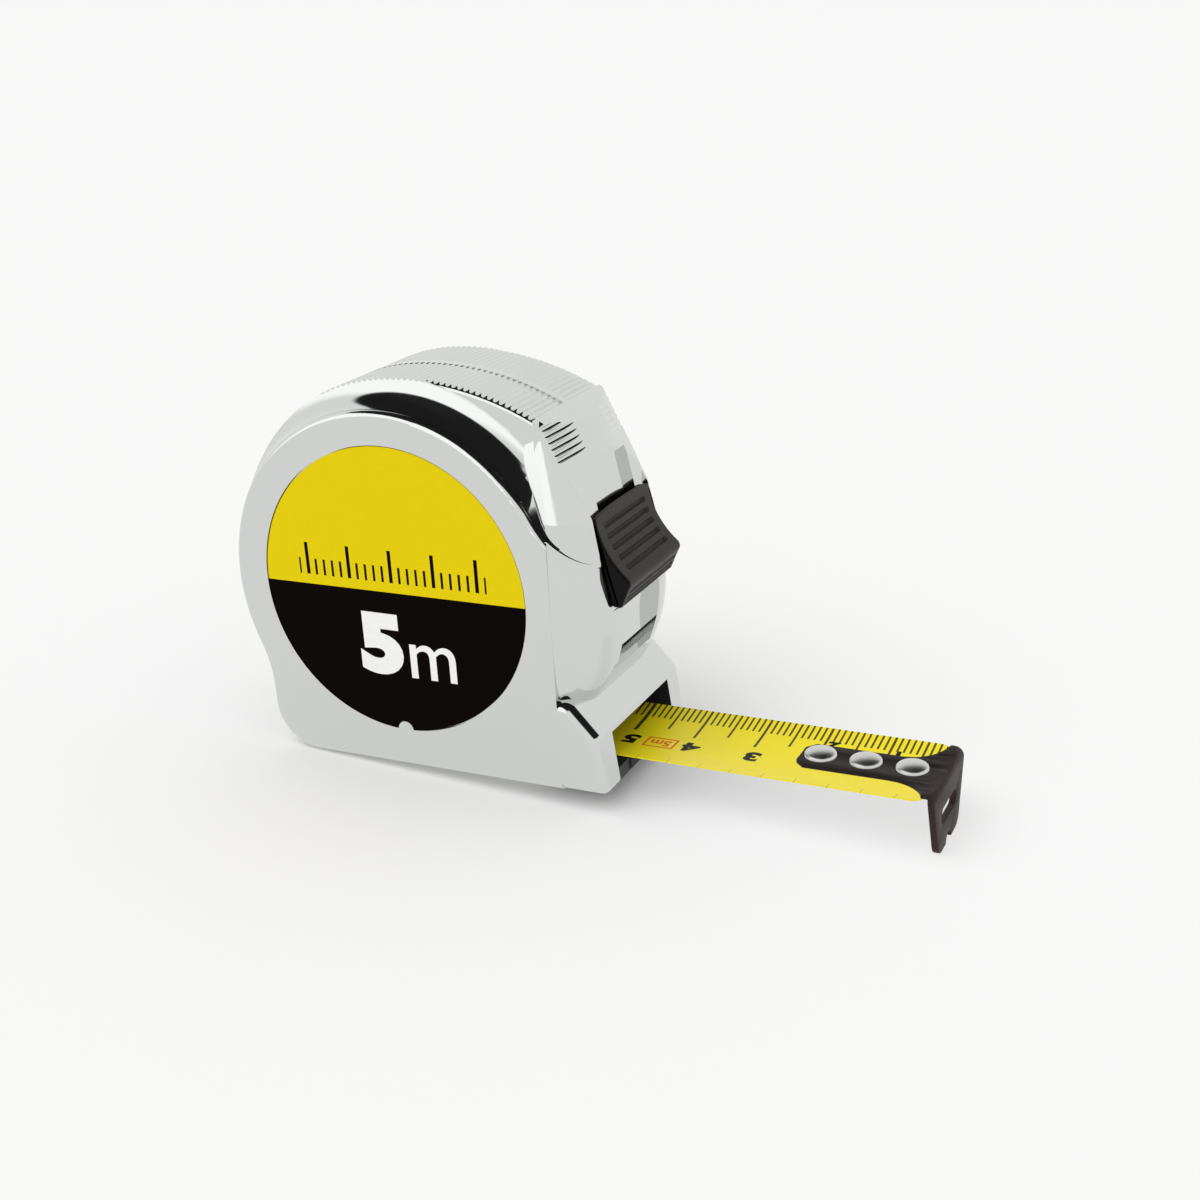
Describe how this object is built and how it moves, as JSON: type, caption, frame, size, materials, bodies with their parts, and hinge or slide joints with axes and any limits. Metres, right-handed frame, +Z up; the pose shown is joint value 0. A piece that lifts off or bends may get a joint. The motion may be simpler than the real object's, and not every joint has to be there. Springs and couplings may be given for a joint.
{
  "type": "pocket tape measure",
  "caption": "Pocket tape measure with a chrome case, ribbed grip, round label, thumb lock and a yellow steel blade with a riveted end hook.",
  "frame": {"origin": "on the base plane of the case, below the reel axis, in the joint plane of the two case halves", "axes": "+X along the blade towards the hook, +Y towards the belt clip, +Z up from the base"},
  "size_m": [0.111, 0.0375, 0.0677],
  "materials": {
    "chrome_case": "bright chrome plating on moulded plastic",
    "label": "printed film, yellow above and black below",
    "steel": "bare spring or screw steel",
    "rivet_steel": "bright nickel",
    "black_plastic": "black moulded plastic",
    "lock_plastic": "dark grey satin plastic",
    "rubber": "soft black rubber",
    "reel_plastic": "plain moulded plastic",
    "blade_yellow": "gloss yellow lacquer on steel",
    "hook_black": "dark oxide finish on steel"
  },
  "bodies": {
    "case": {"case_left": "chrome_case", "case_right": "chrome_case", "label_left": "label", "label_right": "label", "case_screws": "steel", "center_post": "steel", "mouth_insert": "black_plastic", "hook_bumper": "rubber", "belt_clip": "steel", "clip_screw": "steel", "blade_run": "blade_yellow"},
    "drum": {"reel": "reel_plastic", "reel_cover": "reel_plastic", "spring_anchor": "steel", "blade_winding": "blade_yellow", "power_spring": "steel"},
    "blade": {"blade": "blade_yellow", "hook_rivets": "rivet_steel"},
    "hook": {"end_hook": "hook_black"},
    "lock": {"lock_button": "lock_plastic", "lock_arm": "black_plastic", "lock_shoe": "black_plastic"}
  },
  "joints": [
    {"name": "drum_spin", "type": "hinge", "parent": "case", "child": "drum", "pos_m": [0, 0, 0.0292], "axis": [0, -1, 0], "range_deg": [-110.4, 16.7], "deforming": ["power_spring"]},
    {"name": "blade_slide", "type": "slide", "parent": "case", "child": "blade", "axis": [1, 0, 0], "range_m": [-0.0462, 0.007], "deforming": ["blade_run"]},
    {"name": "hook_play", "type": "slide", "parent": "blade", "child": "hook", "axis": [1, 0, 0], "range_m": [-0.0005, 0.0005]},
    {"name": "lock_slide", "type": "slide", "parent": "case", "child": "lock", "axis": [-0.2003, 0, 0.9797], "range_m": [0, 0.006]}
  ],
  "couplings": [
    {"joint": "blade_slide", "follows": "drum_spin", "m_per_rad": 0.02398}
  ]
}
